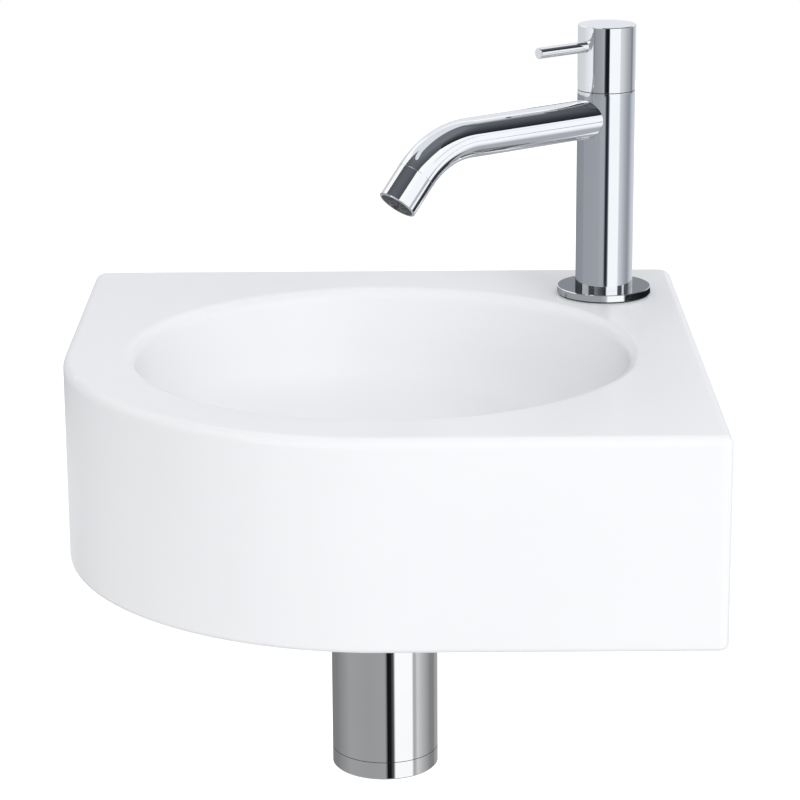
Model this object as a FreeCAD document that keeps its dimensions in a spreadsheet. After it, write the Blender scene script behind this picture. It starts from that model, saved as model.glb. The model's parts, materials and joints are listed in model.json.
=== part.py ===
import FreeCAD, Part
import math
import os
import re
import Sketcher

Vector = FreeCAD.Vector

# Corner basin with its tap, waste and bottle trap, in millimetres and degrees.
# The wall behind the basin is the plane y = 0 and the part comes out of it along -y.
# The side wall stands at the basin's right face. The origin lies midway between the
# two wall studs, on the wall.
SIZES = {
    # Bowl and the rim round it. The front curve shares the bowl's centre.
    "bowl_radius": 117,
    "rim_width": 33,
    "back_rim_width": 43,
    "bowl_depth": 70,
    "bowl_wall_lean": 10,
    "bowl_floor_fall": 4,
    "bowl_lip_round": 6,
    "bowl_floor_round": 45,
    "bowl_shell": 9,
    "bowl_under_round": 40,
    # Basin block, hollow underneath.
    "basin_height": 97,
    "rim_above_studs": 45,
    "front_corner_round": 5,
    "back_corner_round": 7,
    "rim_edge_round": 4.5,
    "foot_edge_round": 2.5,
    "basin_wall": 10,
    "deck_thickness": 14,
    # Drain seat in the bowl's floor.
    "drain_land_radius": 34,
    "drain_land_depth": 4,
    "drain_floor": 10,
    "drain_boss_rim": 2,
    "drain_hole_radius": 22.5,
    # Tap position, from the side wall and from the wall behind.
    "tap_from_side": 38.3,
    "tap_from_wall": 53.8,
    "tap_hole_radius": 17.5,
    # Wall fixing.
    "stud_spacing": 120,
    "stud_hole_radius": 7,
    "stud_wood_radius": 5,
    "stud_wood_length": 55,
    "stud_point_length": 8,
    "stud_thread_radius": 4,
    "stud_spare_length": 6,
    "bush_flange_radius": 11,
    "bush_flange_thickness": 2.5,
    "stud_washer_radius": 10,
    "stud_washer_thickness": 1.6,
    "stud_nut_width": 13,
    "stud_nut_height": 6.5,
    # Clearances, each measured on the radius.
    "thread_fit": 0.05,
    "sleeve_fit": 0.3,
    "running_fit": 0.05,
    "cup_fit": 0.4,
    # Waste.
    "waste_gasket_thickness": 1.5,
    "waste_flange_radius": 31.5,
    "waste_flange_thickness": 2.5,
    "waste_flange_bevel": 0.8,
    "waste_thread_radius": 20.95,
    "waste_bore_radius": 18.5,
    "waste_tail_length": 34,
    "crossbar_drop": 5,
    "crossbar_height": 5,
    "crossbar_width": 8,
    "grate_radius": 27,
    "grate_thickness": 1.5,
    "grate_slot_inner": 9,
    "grate_slot_outer": 21,
    "grate_slot_radius": 1.7,
    "grate_screw_radius": 2.95,
    "grate_head_radius": 5.2,
    "grate_head_height": 2,
    "grate_head_bevel": 1.2,
    "lower_gasket_radius": 29,
    "lower_gasket_thickness": 3,
    "lock_nut_width": 52,
    "lock_nut_height": 8,
    # Bottle trap.
    "trap_nut_radius": 25.5,
    "trap_nut_height": 17,
    "trap_nut_lip": 2.5,
    "trap_gasket_thickness": 2,
    "dip_flange_thickness": 2.5,
    "pipe_radius": 16,
    "pipe_wall": 1.2,
    "dip_below_outlet": 51.5,
    "trap_nut_gap": 1,
    "bottle_radius": 25.7,
    "bottle_wall": 1.6,
    "bottle_top": 3,
    "bottle_shoulder_round": 5,
    "bottle_height": 85.5,
    "outlet_below_top": 24,
    "cup_height": 9.2,
    "cup_floor": 2.5,
    "cup_seam": 0.3,
    "cup_spigot_height": 9,
    "cup_spigot_wall": 1.8,
    "cup_edge_bevel": 0.8,
    "cup_seal_width": 0.9,
    "cup_seal_depth": 0.9,
    # Trap outlet and the pipe into the wall.
    "stub_radius": 18.5,
    "stub_reach": 44,
    "stub_socket_depth": 12,
    "outlet_gasket_thickness": 3,
    "outlet_nut_radius": 22.5,
    "outlet_nut_length": 18,
    "outlet_nut_lip": 3,
    "outlet_nut_bevel": 1,
    "pipe_behind_wall": 35,
    "pipe_mark_width": 1.5,
    "pipe_mark_depth": 0.3,
    "rosette_radius": 28.5,
    "rosette_height": 12,
    "rosette_wall": 1.2,
    # Tap column.
    "tap_gasket_thickness": 0.8,
    "tap_gasket_inset": 0.8,
    "tap_flange_radius": 23.5,
    "tap_flange_thickness": 3.4,
    "tap_flange_bevel": 0.3,
    "column_radius": 14.4,
    "column_height": 104,
    "chamber_radius": 9.5,
    "chamber_floor": 62,
    # Spout.
    "spout_turn": 38,
    "spout_below_top": 13.5,
    "spout_radius": 9.75,
    "spout_wall": 1.5,
    "spout_straight_length": 89,
    "spout_bend_radius": 43,
    "spout_bend_turn": 48,
    # Aerator.
    "aerator_length": 17.3,
    "aerator_seam": 0.25,
    "aerator_groove": 0.6,
    "aerator_spigot": 4,
    "aerator_wall": 1.3,
    "aerator_bevel": 0.4,
    "aerator_ledge": 1.5,
    "aerator_washer_thickness": 1.5,
    "aerator_recess": 0.8,
    "aerator_face": 1.5,
    "aerator_hole_radius": 0.7,
    "aerator_ring": 4.4,
    # Tap fixing under the deck.
    "shank_radius": 10.4,
    "shank_bore": 5.5,
    "shank_in_column": 12,
    "shank_below_deck": 41,
    "supply_thread_length": 15,
    "shank_relief_width": 2,
    "shank_relief_depth": 0.6,
    "rubber_washer_radius": 20,
    "rubber_washer_thickness": 3,
    "clamp_washer_radius": 19,
    "clamp_washer_thickness": 1.5,
    "back_nut_width": 27,
    "back_nut_height": 8,
    # Quarter-turn headwork.
    "headwork_seal_thickness": 1.5,
    "headwork_nose_height": 12,
    "headwork_waist_radius": 7.6,
    "headwork_thread_height": 7,
    "headwork_head_width": 20,
    "headwork_head_height": 5,
    "gland_radius": 6.2,
    "gland_height": 3,
    "disc_bore": 7,
    "disc_thickness": 3,
    "disc_port_radius": 1.9,
    "disc_port_offset": 3.9,
    "disc_gap": 0.1,
    "window_width": 6,
    "window_height": 3,
    "spindle_radius": 4,
    "spindle_collar_radius": 6.2,
    "spindle_collar_height": 2.4,
    "spindle_in_cap": 9.5,
    # Cap and lever.
    "glide_ring_thickness": 0.3,
    "glide_ring_width": 2.2,
    "cap_seam": 0.4,
    "cap_height": 32.2,
    "cap_wall": 2,
    "cap_edge_bevel": 0.35,
    "cap_inner_gap": 0.6,
    "lever_below_top": 10,
    "lever_radius": 2.7,
    "lever_root": 3,
    "lever_reach": 44.7,
    "lever_tip_bevel": 0.2,
    "grub_radius": 2,
    "grub_length": 7,
    "grub_above_skirt": 4.5,
    "grub_key_width": 2,
    "grub_key_depth": 3,
}

SHEET = "Sizes"
FULL_TURN = 360
GRATE_SLOTS = 10
AERATOR_HOLES = 8
TOUCH = 1e-6

# Heights and distances worked out from the driving dimensions.
SIDE_RIM = "rim_width"
BOWL_FROM_SIDE = f"(bowl_radius + {SIDE_RIM})"
BOWL_FROM_WALL = "(bowl_radius + back_rim_width)"
FRONT_CURVE = "(bowl_radius + rim_width)"
DECK_UNDER = "(0 - deck_thickness)"
FOOT = "(0 - basin_height)"
FLOOR_EDGE = "(bowl_floor_fall - bowl_depth)"
DRAIN_SEAT = "(0 - bowl_depth - drain_land_depth)"
DRAIN_UNDER = f"({DRAIN_SEAT} - drain_floor)"

FLANGE_UNDER = f"({DRAIN_SEAT} + waste_gasket_thickness)"
FLANGE_TOP = f"({FLANGE_UNDER} + waste_flange_thickness)"
GRATE_UNDER = f"({FLANGE_TOP} - grate_thickness)"
CROSSBAR_TOP = f"({GRATE_UNDER} - crossbar_drop)"
TAIL_END = f"({FLANGE_UNDER} - waste_tail_length)"
LOCK_NUT_TOP = f"({DRAIN_UNDER} - lower_gasket_thickness)"

DIP_TOP = f"({TAIL_END} - trap_gasket_thickness)"
DIP_FLANGE_UNDER = f"({DIP_TOP} - dip_flange_thickness)"
TRAP_NUT_UNDER = f"({DIP_FLANGE_UNDER} - trap_nut_lip)"
BOTTLE_TOP = f"({TRAP_NUT_UNDER} - trap_nut_gap)"
BOTTLE_BOTTOM = f"({BOTTLE_TOP} - bottle_height)"
OUTLET_AXIS = f"({BOTTLE_TOP} - outlet_below_top)"
CUP_TOP = f"({BOTTLE_BOTTOM} - cup_seam)"
CUP_BOTTOM = f"({BOTTLE_BOTTOM} - cup_height)"
BOTTLE_BORE = "(bottle_radius - bottle_wall)"
PIPE_BORE = "(pipe_radius - pipe_wall)"

FLANGE_SEAT = "tap_gasket_thickness"
SHANK_TOP = f"({FLANGE_SEAT} + shank_in_column)"
SPOUT_LEVEL = "(column_height - spout_below_top)"
HEADWORK_FOOT = "(chamber_floor + headwork_seal_thickness)"
MOVING_DISC_FOOT = f"({HEADWORK_FOOT} + disc_thickness + disc_gap)"
MOVING_DISC_TOP = f"({MOVING_DISC_FOOT} + disc_thickness)"
COLLAR_TOP = f"({MOVING_DISC_TOP} + spindle_collar_height)"
DISC_ROOM_TOP = f"({COLLAR_TOP} + sleeve_fit)"
NOSE_TOP = f"({HEADWORK_FOOT} + headwork_nose_height)"
THREAD_FOOT = "(column_height - headwork_thread_height)"
HEAD_TOP = "(column_height + headwork_head_height)"
GLAND_TOP = f"({HEAD_TOP} + gland_height)"
CAP_FOOT = "(column_height + cap_seam)"
CAP_TOP = f"({CAP_FOOT} + cap_height)"
CAP_INSIDE = f"({GLAND_TOP} + cap_inner_gap)"
SPINDLE_TOP = f"({CAP_INSIDE} + spindle_in_cap)"
LEVER_AXIS = f"({CAP_TOP} - lever_below_top)"
GRUB_AXIS = f"({CAP_INSIDE} + grub_above_skirt)"
SPOUT_BORE = "(spout_radius - spout_wall)"
SPOUT_ROOT = "(sqrt(column_radius ^ 2 - spout_radius ^ 2) - sleeve_fit)"

document = FreeCAD.newDocument("CornerBasin")
sheet = document.addObject("Spreadsheet::Sheet", SHEET)


def fill_sheet():
    """One row for each driving dimension: its name, its number and its alias."""
    for row, (name, number) in enumerate(SIZES.items(), 1):
        sheet.set(f"A{row}", name)
        sheet.set(f"B{row}", str(number))
        sheet.setAlias(f"B{row}", name)
    document.recompute()


def bound(text):
    """The same formula with the sheet's name before each of its aliases."""
    return re.sub(r"\b[a-z]+(?:_[a-z]+)+\b", lambda word: f"{SHEET}.{word.group(0)}", text)


def number_of(text):
    return float(sheet.evalExpression(bound(text)))


# Frames -----------------------------------------------------------------------

def turned(axis, angle):
    vector = "create(<<vector>>; {}; {}; {})".format(*axis)
    return f"create(<<rotation>>; {vector}; {angle})"


def frame(x="0", y="0", z="0", turn=("0", "0", "1"), angle="0"):
    """A placement as a formula: a shift and one turn about an axis."""
    shift = f"create(<<vector>>; {x}; {y}; {z})"
    return f"create(<<placement>>; {shift}; {turned(turn, angle)})"


BOWL_X = f"({FRONT_CURVE} - {BOWL_FROM_SIDE}) / 2"
SIDE_FACE = f"({FRONT_CURVE} + {BOWL_FROM_SIDE}) / 2"
BOWL_AXIS = frame(BOWL_X, f"0 - {BOWL_FROM_WALL}", "rim_above_studs")
TAP_AXIS = frame(f"{SIDE_FACE} - tap_from_side", "0 - tap_from_wall", "rim_above_studs",
                 angle="180 + spout_turn")
SPOUT_AXIS = TAP_AXIS + " * " + frame(z=SPOUT_LEVEL)
SPOUT_END_X = "spout_straight_length + spout_bend_radius * sin(spout_bend_turn)"
SPOUT_END_Z = "0 - spout_bend_radius * (1 - cos(spout_bend_turn))"
AERATOR_AXIS = " * ".join([SPOUT_AXIS, frame(SPOUT_END_X, "0", SPOUT_END_Z,
                                             ("0", "1", "0"), "90 + spout_bend_turn")])
OUTLET_FRAME = " * ".join([BOWL_AXIS, frame(z=OUTLET_AXIS, turn=("1", "0", "0"), angle="-90")])
STUD_FRAME = frame("0 - stud_spacing / 2", turn=("1", "0", "0"), angle="90")


# Building blocks ----------------------------------------------------------------

def new_body(name, place):
    body = document.addObject("PartDesign::Body", name)
    body.Label = name
    body.setExpression("Placement", bound(place))
    return body


def origin_item(body, role):
    return next(item for item in body.Origin.OriginFeatures if item.Role == role)


def new_sketch(body, name, plane, offset="0"):
    sketch = body.newObject("Sketcher::SketchObject", name)
    sketch.AttachmentSupport = (origin_item(body, plane), [""])
    sketch.MapMode = "FlatFace"
    sketch.setExpression("AttachmentOffset.Base.z", bound(offset))
    return sketch


def hold_point(sketch, item, end, x, y):
    """Hold one point of the sketch at two formulas from its origin."""
    for kind, text, through in (("DistanceX", x, -2), ("DistanceY", y, -1)):
        number = number_of(text)
        if abs(number) < TOUCH:
            sketch.addConstraint(Sketcher.Constraint("PointOnObject", item, end, through))
            continue
        row = sketch.addConstraint(Sketcher.Constraint(kind, -1, 1, item, end, number))
        sketch.setExpression(f"Constraints[{row}]", bound(text))


def draw_polygon(sketch, points):
    """A closed polygon whose corners are pairs of formulas.

    A third formula rounds that corner with an arc of its radius.
    """
    count = len(points)
    corners = [Vector(number_of(point[0]), number_of(point[1]), 0) for point in points]
    trims = [corner_trim(corners, index, point) for index, point in enumerate(points)]
    first = sketch.GeometryCount
    for index, start in enumerate(corners):
        end = corners[(index + 1) % count]
        along = (end - start).normalize()
        line = Part.LineSegment(start + along * trims[index], end - along * trims[(index + 1) % count])
        sketch.addGeometry(line, False)
    for index, (x, y, *rounding) in enumerate(points):
        before = first + (index - 1) % count
        if rounding:
            round_corner(sketch, before, first + index, x, y, rounding[0])
            continue
        sketch.addConstraint(Sketcher.Constraint("Coincident", before, 2, first + index, 1))
        hold_point(sketch, first + index, 1, x, y)


def corner_trim(corners, index, point):
    """How far a rounded corner's arc starts from the corner itself."""
    if len(point) < 3:
        return 0
    back = corners[index - 1] - corners[index]
    ahead = corners[(index + 1) % len(corners)] - corners[index]
    return number_of(point[2]) / math.tan(back.getAngle(ahead) / 2)


def round_corner(sketch, before, after, x, y, radius):
    """Join two lines with a tangent arc; their corner stays as a construction point."""
    start = sketch.Geometry[before].EndPoint
    end = sketch.Geometry[after].StartPoint
    corner = Vector(number_of(x), number_of(y), 0)
    size = number_of(radius)
    inward = ((start + end) / 2 - corner).normalize()
    centre = corner + inward * math.hypot(size, (start - corner).Length)
    angles = [math.atan2(point.y - centre.y, point.x - centre.x) for point in (start, end)]
    left_turn = (start - centre).cross(end - centre).z > 0
    low, high = angles if left_turn else reversed(angles)
    if high < low:
        high += 2 * math.pi
    circle = Part.Circle(centre, Vector(0, 0, 1), size)
    arc = sketch.addGeometry(Part.ArcOfCircle(circle, low, high), False)
    first, last = (1, 2) if left_turn else (2, 1)
    sketch.addConstraint(Sketcher.Constraint("Tangent", before, 2, arc, first))
    sketch.addConstraint(Sketcher.Constraint("Tangent", arc, last, after, 1))
    row = sketch.addConstraint(Sketcher.Constraint("Radius", arc, size))
    sketch.setExpression(f"Constraints[{row}]", bound(radius))
    mark = sketch.addGeometry(Part.Point(corner), True)
    sketch.addConstraint(Sketcher.Constraint("PointOnObject", mark, 1, before))
    sketch.addConstraint(Sketcher.Constraint("PointOnObject", mark, 1, after))
    hold_point(sketch, mark, 1, x, y)


def draw_circle(sketch, radius, x="0", y="0"):
    middle = Vector(number_of(x), number_of(y), 0)
    shape = Part.Circle(middle, Vector(0, 0, 1), number_of(radius))
    item = sketch.addGeometry(shape, False)
    hold_point(sketch, item, 3, x, y)
    row = sketch.addConstraint(Sketcher.Constraint("Radius", item, number_of(radius)))
    sketch.setExpression(f"Constraints[{row}]", bound(radius))


def turn_profile(body, name, kind, points):
    """A profile of (radius, height) corners turned about the body's upright axis."""
    sketch = new_sketch(body, name + "_profile", "XZ_Plane")
    draw_polygon(sketch, points)
    feature = body.newObject(kind, name)
    feature.Profile = sketch
    feature.ReferenceAxis = (sketch, ["V_Axis"])
    feature.Angle = FULL_TURN
    document.recompute()
    return feature


def turned_body(name, place, points):
    body = new_body(name, place)
    turn_profile(body, name + "_turned", "PartDesign::Revolution", points)
    return body


def tube(name, place, inner, outer, foot, top):
    points = [(inner, foot), (outer, foot), (outer, top), (inner, top)]
    return turned_body(name, place, points)


def extrude(body, kind, sketch, name, length, backwards=False):
    """Pad or pocket a sketch; backwards is against the way the feature goes by itself."""
    feature = body.newObject(kind, name)
    feature.Profile = sketch
    feature.setExpression("Length", bound(length))
    feature.Reversed = backwards
    before = feature.BaseFeature.Shape.Volume if feature.BaseFeature else 0
    document.recompute()
    change = feature.Shape.Volume - before
    if (change > 0) != kind.endswith("Pad"):
        raise RuntimeError(f"{name} changes nothing")
    return feature


def pad(body, sketch, name, length, backwards=False):
    return extrude(body, "PartDesign::Pad", sketch, name, length, backwards)


def pocket(body, sketch, name, length, backwards=False):
    return extrude(body, "PartDesign::Pocket", sketch, name, length, backwards)


def dress_edges(body, kind, name, size, chosen):
    """Round or bevel the edges of the body's last feature that a test picks."""
    base = body.Tip
    edges = [f"Edge{row}" for row, edge in enumerate(base.Shape.Edges, 1) if chosen(edge)]
    if not edges:
        raise RuntimeError(f"{name} finds no edge")
    feature = body.newObject(kind, name)
    feature.Base = (base, edges)
    feature.setExpression("Radius" if kind.endswith("Fillet") else "Size", bound(size))
    document.recompute()
    return feature


def round_edges(body, name, radius, chosen):
    return dress_edges(body, "PartDesign::Fillet", name, radius, chosen)


def bevel_edges(body, name, size, chosen):
    return dress_edges(body, "PartDesign::Chamfer", name, size, chosen)


def on_ring(radius, height):
    """A test for the circle of that radius and height round the body's upright axis."""
    wanted = number_of(radius), number_of(height)

    def chosen(edge):
        curve = edge.Curve
        if not isinstance(curve, Part.Circle):
            return False
        centred = abs(curve.Center.x) < TOUCH and abs(curve.Center.y) < TOUCH
        found = curve.Radius, curve.Center.z
        return centred and max(abs(a - b) for a, b in zip(found, wanted)) < TOUCH

    return chosen


def at_height(height):
    """A test for edges that lie wholly at one height."""
    wanted = number_of(height)

    def chosen(edge):
        box = edge.BoundBox
        return max(abs(box.ZMin - wanted), abs(box.ZMax - wanted)) < 1e-4

    return chosen


def upright_at(x, y):
    """A test for the upright edge over one point of the plan."""
    wanted = number_of(x), number_of(y)

    def chosen(edge):
        if not isinstance(edge.Curve, Part.Line) or abs(edge.tangentAt(0).z) < 0.99:
            return False
        found = edge.CenterOfMass
        return abs(found.x - wanted[0]) < TOUCH and abs(found.y - wanted[1]) < TOUCH

    return chosen


def ring_of(body, feature, sketch, name, copies):
    pattern = body.newObject("PartDesign::PolarPattern", name)
    pattern.Originals = [feature]
    pattern.Axis = (sketch, ["N_Axis"])
    pattern.Angle = FULL_TURN
    pattern.Occurrences = copies
    body.Tip = pattern
    document.recompute()


def pair_along_x(body, distance):
    """Repeat the body's last feature once, along its x axis."""
    pattern = body.newObject("PartDesign::LinearPattern", body.Name + "_pair")
    pattern.Originals = [body.Tip]
    pattern.Direction = (origin_item(body, "X_Axis"), [""])
    pattern.setExpression("Length", bound(distance))
    pattern.Occurrences = 2
    body.Tip = pattern
    document.recompute()


def hexagon(width):
    """Corners of a hexagon of that width across its flats."""
    corner = f"{width} / sqrt(3)"
    half = f"{width} / sqrt(12)"
    side = f"{width} / 2"
    return [(corner, "0"), (half, side), (f"0 - {half}", side), (f"0 - {corner}", "0"),
            (f"0 - {half}", f"0 - {side}"), (half, f"0 - {side}")]


def hexagon_nut(name, place, width, bore, height):
    body = new_body(name, place)
    sketch = new_sketch(body, name + "_plan", "XY_Plane")
    draw_polygon(sketch, hexagon(width))
    draw_circle(sketch, bore)
    pad(body, sketch, name + "_block", height)
    return body


# Basin --------------------------------------------------------------------------

def plan_outline(body, name, inset, height):
    """The basin's plan: straight back, right side and front, one large front curve."""
    sketch = new_sketch(body, name, "XY_Plane", height)
    curve, side, back = (f"({text} - {inset})" for text in (FRONT_CURVE, BOWL_FROM_SIDE,
                                                          BOWL_FROM_WALL))
    radius = number_of(curve)
    corners = [("0", f"0 - {curve}"), (side, f"0 - {curve}"), (side, back),
               (f"0 - {curve}", back), (f"0 - {curve}", "0")]
    points = [Vector(number_of(x), number_of(y), 0) for x, y in corners]
    circle = Part.Circle(Vector(0, 0, 0), Vector(0, 0, 1), radius)
    sketch.addGeometry(Part.ArcOfCircle(circle, math.pi, math.pi * 3 / 2), False)
    curve_row = sketch.addConstraint(Sketcher.Constraint("Radius", 0, radius))
    sketch.setExpression(f"Constraints[{curve_row}]", bound(curve))
    sketch.addConstraint(Sketcher.Constraint("Coincident", 0, 3, -1, 1))
    for start, end in zip(points, points[1:]):
        sketch.addGeometry(Part.LineSegment(start, end), False)
    for row, (x, y) in enumerate(corners[1:-1], 2):
        sketch.addConstraint(Sketcher.Constraint("Coincident", row - 1, 2, row, 1))
        hold_point(sketch, row, 1, x, y)
    sketch.addConstraint(Sketcher.Constraint("PointOnObject", 0, 1, -1))
    sketch.addConstraint(Sketcher.Constraint("PointOnObject", 0, 2, -2))
    sketch.addConstraint(Sketcher.Constraint("Coincident", 0, 2, 1, 1))
    sketch.addConstraint(Sketcher.Constraint("Coincident", 4, 2, 0, 1))
    return sketch


def make_basin():
    body = new_body("basin", BOWL_AXIS)
    outline = plan_outline(body, "basin_outline", "0", FOOT)
    pad(body, outline, "basin_block", "basin_height")
    round_edges(body, "front_corner", "front_corner_round",
                upright_at(BOWL_FROM_SIDE, f"0 - {FRONT_CURVE}"))
    at_right = upright_at(BOWL_FROM_SIDE, BOWL_FROM_WALL)
    at_left = upright_at(f"0 - {FRONT_CURVE}", BOWL_FROM_WALL)
    round_edges(body, "back_corners", "back_corner_round",
                lambda edge: at_right(edge) or at_left(edge))
    round_edges(body, "rim_edge", "rim_edge_round", at_height("0"))
    round_edges(body, "foot_edge", "foot_edge_round", at_height(FOOT))
    hollow = plan_outline(body, "hollow_outline", "basin_wall", FOOT)
    pocket(body, hollow, "hollow", "basin_height - deck_thickness", backwards=True)
    add_bowl_shell(body)
    cut_bowl(body)
    cut_fixing_holes(body)


def add_bowl_shell(body):
    """The bowl's underside, down to the flat boss round the drain."""
    outer = "(bowl_radius + bowl_shell)"
    boss = "(drain_land_radius + drain_boss_rim)"
    inside_deck = "0 - deck_thickness / 2"
    corner = (f"{outer} - bowl_wall_lean", f"{FLOOR_EDGE} - bowl_shell", "bowl_under_round")
    points = [("0", inside_deck), (outer, inside_deck), corner,
              (boss, "0 - bowl_depth - bowl_shell"), (boss, DRAIN_UNDER), ("0", DRAIN_UNDER)]
    turn_profile(body, "bowl_shell", "PartDesign::Revolution", points)


def cut_bowl(body):
    corner = ("bowl_radius - bowl_wall_lean", FLOOR_EDGE, "bowl_floor_round")
    points = [("0", "0"), ("bowl_radius", "0"), corner, ("drain_land_radius", "0 - bowl_depth"),
              ("drain_land_radius", DRAIN_SEAT), ("0", DRAIN_SEAT)]
    turn_profile(body, "bowl", "PartDesign::Groove", points)
    round_edges(body, "bowl_lip", "bowl_lip_round", on_ring("bowl_radius", "0"))


def cut_fixing_holes(body):
    drain = new_sketch(body, "drain_circle", "XY_Plane", DRAIN_SEAT)
    draw_circle(drain, "drain_hole_radius")
    pocket(body, drain, "drain_hole", "drain_floor")
    tap = new_sketch(body, "tap_circle", "XY_Plane")
    draw_circle(tap, "tap_hole_radius", f"{BOWL_FROM_SIDE} - tap_from_side",
                f"{BOWL_FROM_WALL} - tap_from_wall")
    pocket(body, tap, "tap_hole", "deck_thickness")
    studs = new_sketch(body, "stud_circles", "XZ_Plane", f"0 - {BOWL_FROM_WALL}")
    for side in ("0 -", "0 +"):
        draw_circle(studs, "stud_hole_radius", f"{side} stud_spacing / 2 - {BOWL_X}",
                    "0 - rim_above_studs")
    pocket(body, studs, "stud_holes", "basin_wall", backwards=True)


# Wall fixing --------------------------------------------------------------------

def make_wall_fixing():
    bush_face = "(basin_wall + bush_flange_thickness)"
    washer_face = f"({bush_face} + stud_washer_thickness)"
    stud_end = f"{washer_face} + stud_nut_height + stud_spare_length"
    wood_end = "0 - stud_wood_length"
    studs = turned_body("wall_studs", STUD_FRAME, [
        ("0", wood_end), ("stud_wood_radius", f"{wood_end} + stud_point_length"),
        ("stud_wood_radius", "0"), ("stud_thread_radius", "0"),
        ("stud_thread_radius", stud_end), ("0", stud_end)])
    bore = "(stud_thread_radius + thread_fit)"
    barrel = "(stud_hole_radius - sleeve_fit)"
    bushes = turned_body("stud_bushes", STUD_FRAME, [
        (bore, "thread_fit"), (barrel, "thread_fit"), (barrel, "basin_wall"),
        ("bush_flange_radius", "basin_wall"), ("bush_flange_radius", bush_face),
        (bore, bush_face)])
    washers = tube("stud_washers", STUD_FRAME, bore, "stud_washer_radius", bush_face, washer_face)
    nuts = hexagon_nut("stud_nuts", STUD_FRAME + " * " + frame(z=washer_face),
                       "stud_nut_width", bore, "stud_nut_height")
    for body in (studs, bushes, washers, nuts):
        pair_along_x(body, "stud_spacing")


# Waste --------------------------------------------------------------------------

def make_waste():
    tube("waste_top_gasket", BOWL_AXIS, "waste_thread_radius + thread_fit",
         "waste_flange_radius", DRAIN_SEAT, FLANGE_UNDER)
    make_waste_body()
    make_waste_grate()
    make_waste_screw()
    tube("waste_lower_gasket", BOWL_AXIS, "waste_thread_radius + thread_fit",
         "lower_gasket_radius", LOCK_NUT_TOP, DRAIN_UNDER)
    nut_foot = f"{LOCK_NUT_TOP} - lock_nut_height"
    hexagon_nut("waste_lock_nut", BOWL_AXIS + " * " + frame(z=nut_foot),
                "lock_nut_width", "waste_thread_radius + thread_fit", "lock_nut_height")


def make_waste_body():
    """Flange, threaded tail and the bar across it that takes the grate's screw."""
    seat = "(grate_radius + sleeve_fit)"
    body = turned_body("waste_body", BOWL_AXIS, [
        ("waste_bore_radius", TAIL_END), ("waste_thread_radius", TAIL_END),
        ("waste_thread_radius", FLANGE_UNDER), ("waste_flange_radius", FLANGE_UNDER),
        ("waste_flange_radius", FLANGE_TOP), (seat, FLANGE_TOP), (seat, GRATE_UNDER),
        ("waste_bore_radius", GRATE_UNDER)])
    bevel_edges(body, "waste_flange_edge", "waste_flange_bevel",
                on_ring("waste_flange_radius", FLANGE_TOP))
    bar = new_sketch(body, "crossbar_plan", "XY_Plane", CROSSBAR_TOP)
    reach = "(waste_bore_radius + waste_thread_radius) / 2"
    half = "crossbar_width / 2"
    draw_polygon(bar, [(f"0 - {reach}", f"0 - {half}"), (reach, f"0 - {half}"),
                       (reach, half), (f"0 - {reach}", half)])
    draw_circle(bar, "grate_screw_radius + thread_fit")
    pad(body, bar, "crossbar", "crossbar_height", backwards=True)


def make_waste_grate():
    body = turned_body("waste_grate", BOWL_AXIS, [
        ("grate_screw_radius + sleeve_fit", GRATE_UNDER), ("grate_radius", GRATE_UNDER),
        ("grate_radius", FLANGE_TOP), ("grate_screw_radius + sleeve_fit", FLANGE_TOP)])
    slot = new_sketch(body, "slot_outline", "XY_Plane", FLANGE_TOP)
    half = "grate_slot_radius"
    draw_polygon(slot, [("grate_slot_inner", f"0 - {half} / 2"),
                        ("grate_slot_outer", f"0 - {half}"),
                        (f"grate_slot_outer + {half}", "0"),
                        ("grate_slot_outer", half), ("grate_slot_inner", f"{half} / 2")])
    cut = pocket(body, slot, "slot", "grate_thickness")
    ring_of(body, cut, slot, "slots", GRATE_SLOTS)


def make_waste_screw():
    head_top = f"({FLANGE_TOP} + grate_head_height)"
    shank_end = f"{CROSSBAR_TOP} - crossbar_height"
    body = turned_body("waste_screw", BOWL_AXIS, [
        ("0", shank_end), ("grate_screw_radius", shank_end), ("grate_screw_radius", FLANGE_TOP),
        ("grate_head_radius", FLANGE_TOP), ("grate_head_radius", head_top), ("0", head_top)])
    bevel_edges(body, "screw_dome", "grate_head_bevel", on_ring("grate_head_radius", head_top))


# Bottle trap --------------------------------------------------------------------

def make_trap():
    tail_bore = "(waste_thread_radius + thread_fit)"
    flange = "(waste_thread_radius - sleeve_fit)"
    neck = "(pipe_radius + thread_fit)"
    nut_top = f"({TRAP_NUT_UNDER} + trap_nut_height)"
    turned_body("trap_inlet_nut", BOWL_AXIS, [
        (neck, TRAP_NUT_UNDER), ("trap_nut_radius", TRAP_NUT_UNDER),
        ("trap_nut_radius", nut_top), (tail_bore, nut_top), (tail_bore, DIP_FLANGE_UNDER),
        (neck, DIP_FLANGE_UNDER)])
    tube("trap_inlet_gasket", BOWL_AXIS, PIPE_BORE, flange, DIP_TOP, TAIL_END)
    dip_end = f"({OUTLET_AXIS} - dip_below_outlet)"
    turned_body("trap_dip_tube", BOWL_AXIS, [
        (PIPE_BORE, dip_end), ("pipe_radius", dip_end), ("pipe_radius", DIP_FLANGE_UNDER),
        (flange, DIP_FLANGE_UNDER), (flange, DIP_TOP), (PIPE_BORE, DIP_TOP)])
    make_bottle()
    make_cup()
    make_outlet()


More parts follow.
